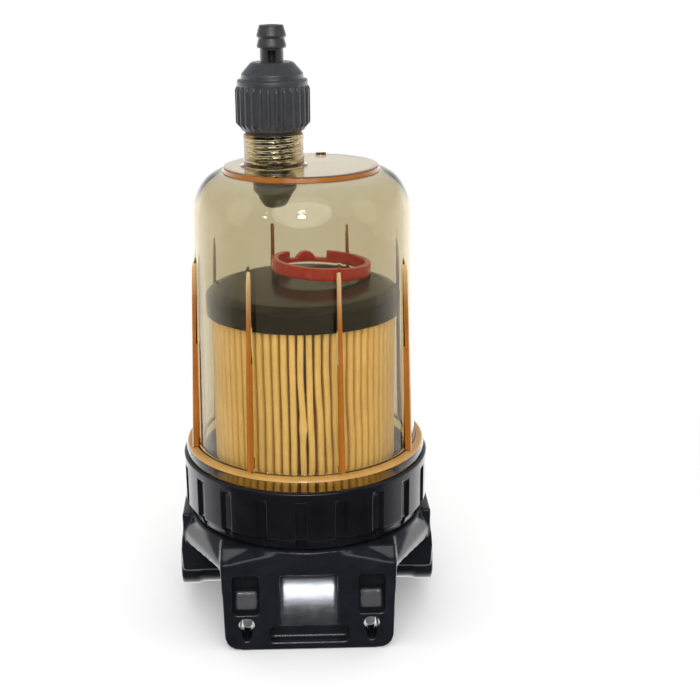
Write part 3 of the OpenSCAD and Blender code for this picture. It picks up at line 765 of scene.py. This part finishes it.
def stem_piece():
    """Hollow stem whose thread runs as a real helix of 2 mm pitch."""
    crest, root, shank, bore, spigot = 8.4, 7.1, 6.2, 2.6, 5.4
    z0, z1 = 188.6, 200.0
    foot = 181.7
    outline = [(bore, z1), (bore, foot), (shank - 0.2, foot), (shank, foot + 0.2)]
    outline += [(shank, z0 - 0.3), (root, z0)]
    outline += [(root, z0 + (z1 - z0) * k / 76) for k in range(1, 77)]
    outline += [(spigot, z1 + 0.1), (spigot, 212.8), (spigot - 0.2, 213), (bore, 213)]

    def threaded(r, z, a):
        if abs(r - root) > 1e-6 or z < z0 + 1e-6:
            return (r, z)
        return (root + (crest - root) * thread_wave(z, a, z0, z1, 0.1, 0.32), z)

    turned = revolve(outline, around(96), threaded, closed=True, centre=(DRAIN_X, 0))
    obj = mesh_object("stem_thread", *turned)
    return piece(obj, "drain", STEM, ["drain_stem"], angle=50)


def plug_piece():
    bore, rim = 2.6, 8.7
    tip, top = 169.65, 181.58
    outline = dense(rounded([
        (0, tip, 0), (4.4, tip, 0.8), (5.6, 171.2, 0.6), (7.1, 173.6, 0.5), (rim, 175.2, 0.7),
        (rim, 177, 0.2), (rim - 1.2, 177, 0.1), (rim - 1.2, 179, 0.1), (rim, 179, 0.2), (rim, 181.0, 0.6),
        (rim - 0.8, top, 0.3), (bore, top, 0.1), (bore, 173, 0.1), (0, 173, 0),
    ]), 1.2)
    obj = mesh_object("plug_cone", *revolve(outline, around(96), centre=(DRAIN_X, 0)))
    return piece(obj, "drain", PLUG, ["drain_plug"], angle=45)


knob_piece()
barb_piece()
stem_piece()
plug_piece()

# ---------------------------------------------------------------- floor, light and camera


def floor_piece():
    """Plain pale floor that fades into the white surroundings."""
    verts, faces = revolve([(0, 0), (60, 0), (200, 0), (500, 0), (900, 0)], around(64))
    obj = mesh_object("floor", [(x, y, -0.02) for x, y, _ in verts], faces)
    mat, tree, shader = new_material("floor")
    shader.inputs["Base Color"].default_value = (0.9, 0.9, 0.9, 1)
    shader.inputs["Roughness"].default_value = 0.8
    shader.inputs["Specular IOR Level"].default_value = 0.1
    coords = tree.nodes.new("ShaderNodeTexCoord").outputs["Object"]
    length = tree.nodes.new("ShaderNodeVectorMath")
    length.operation = "LENGTH"
    tree.links.new(coords, length.inputs[0])
    fade = spread(tree, length.outputs["Value"], 1.0, 0.0, 0.06, 0.30)
    tree.links.new(fade, shader.inputs["Alpha"])
    obj.data.materials.append(mat)
    obj.visible_glossy = False


def lamp(name, place, aim, size, radiance):
    """A white, elliptical soft box, size metres across, at place, facing aim, that bright beside white."""
    light = bpy.data.lights.new(name, "AREA")
    light.shape, light.size, light.size_y = "ELLIPSE", size[0], size[1]
    light.energy = radiance * math.pi * size[0] * size[1] * math.pi / 4
    obj = bpy.data.objects.new(name, light)
    obj.location = place
    obj.rotation_euler = (Vector(aim) - Vector(place)).to_track_quat("-Z", "Y").to_euler()
    obj.visible_camera = False
    scene.collection.objects.link(obj)


def surroundings():
    """White as seen and as fill light; reflections find it bright behind, dimmer in front and overhead."""
    world = bpy.data.worlds.new("studio")
    scene.world = world
    world.use_nodes = True
    tree = world.node_tree
    tree.nodes.clear()
    path = tree.nodes.new("ShaderNodeLightPath")
    direction = tree.nodes.new("ShaderNodeTexCoord").outputs["Generated"]
    split = tree.nodes.new("ShaderNodeSeparateXYZ")
    tree.links.new(direction, split.inputs[0])
    behind = spread(tree, split.outputs["Y"], 0.04, 1.9, -0.3, 0.6)
    overhead = spread(tree, split.outputs["Z"], 1.0, 0.28, 0.0, 0.25)
    product = tree.nodes.new("ShaderNodeMath")
    product.operation = "MULTIPLY"
    tree.links.new(behind, product.inputs[0])
    tree.links.new(overhead, product.inputs[1])
    mirrored = product.outputs["Value"]
    only_mirrored = tree.nodes.new("ShaderNodeMath")
    only_mirrored.operation, only_mirrored.use_clamp = "SUBTRACT", True
    tree.links.new(path.outputs["Is Glossy Ray"], only_mirrored.inputs[0])
    tree.links.new(path.outputs["Is Transmission Ray"], only_mirrored.inputs[1])
    strength = tree.nodes.new("ShaderNodeMix")
    strength.inputs["A"].default_value = 1.0
    tree.links.new(only_mirrored.outputs["Value"], strength.inputs["Factor"])
    tree.links.new(mirrored, strength.inputs["B"])
    fill = tree.nodes.new("ShaderNodeMix")
    tree.links.new(strength.outputs["Result"], fill.inputs["A"])
    fill.inputs["B"].default_value = 1.0
    tree.links.new(path.outputs["Is Diffuse Ray"], fill.inputs["Factor"])
    background = tree.nodes.new("ShaderNodeBackground")
    background.inputs["Color"].default_value = (1, 1, 1, 1)
    tree.links.new(fill.outputs["Result"], background.inputs["Strength"])
    output = tree.nodes.new("ShaderNodeOutputWorld")
    tree.links.new(background.outputs["Background"], output.inputs["Surface"])


def camera():
    """The photograph's viewpoint: a long lens a little above the bowl, looking down at the head."""
    distance, height = 0.4788, 0.2666
    yaw, pitch, roll = math.radians(0.7), math.radians(18.03), math.radians(0.87)
    data = bpy.data.cameras.new("camera")
    data.sensor_width, data.lens = 36.0, 63.0
    data.shift_x = 0.0661
    obj = bpy.data.objects.new("camera", data)
    ahead = Vector((math.sin(yaw) * math.cos(pitch), math.cos(yaw) * math.cos(pitch), -math.sin(pitch)))
    turned = ahead.to_track_quat("-Z", "Y").to_matrix() @ Matrix.Rotation(-roll, 3, "Z")
    obj.rotation_euler = turned.to_euler()
    obj.location = (-distance * math.sin(yaw), -distance * math.cos(yaw), height)
    scene.collection.objects.link(obj)
    scene.camera = obj


floor_piece()
surroundings()
lamp("front_top", (0.0, -1.1, 0.8), (0, 0, 0.1), (1.4, 1.2), 1.9)
lamp("side_left", (-0.9, -0.3, 0.5), (0, 0, 0.1), (0.5, 0.7), 0.5)
lamp("side_right", (0.9, -0.3, 0.5), (0, 0, 0.1), (0.5, 0.7), 0.5)
lamp("spot_left", (-0.50, -0.62, 0.46), (0, 0, 0.15), (0.055, 0.035), 40)
lamp("spot_mid", (-0.01, -0.66, 0.46), (0, 0, 0.15), (0.10, 0.075), 34)
camera()
scene.view_settings.view_transform = "Standard"
scene.cycles.max_bounces = 32
scene.cycles.glossy_bounces = 20
scene.cycles.transmission_bounces = 28
scene.cycles.transparent_max_bounces = 24
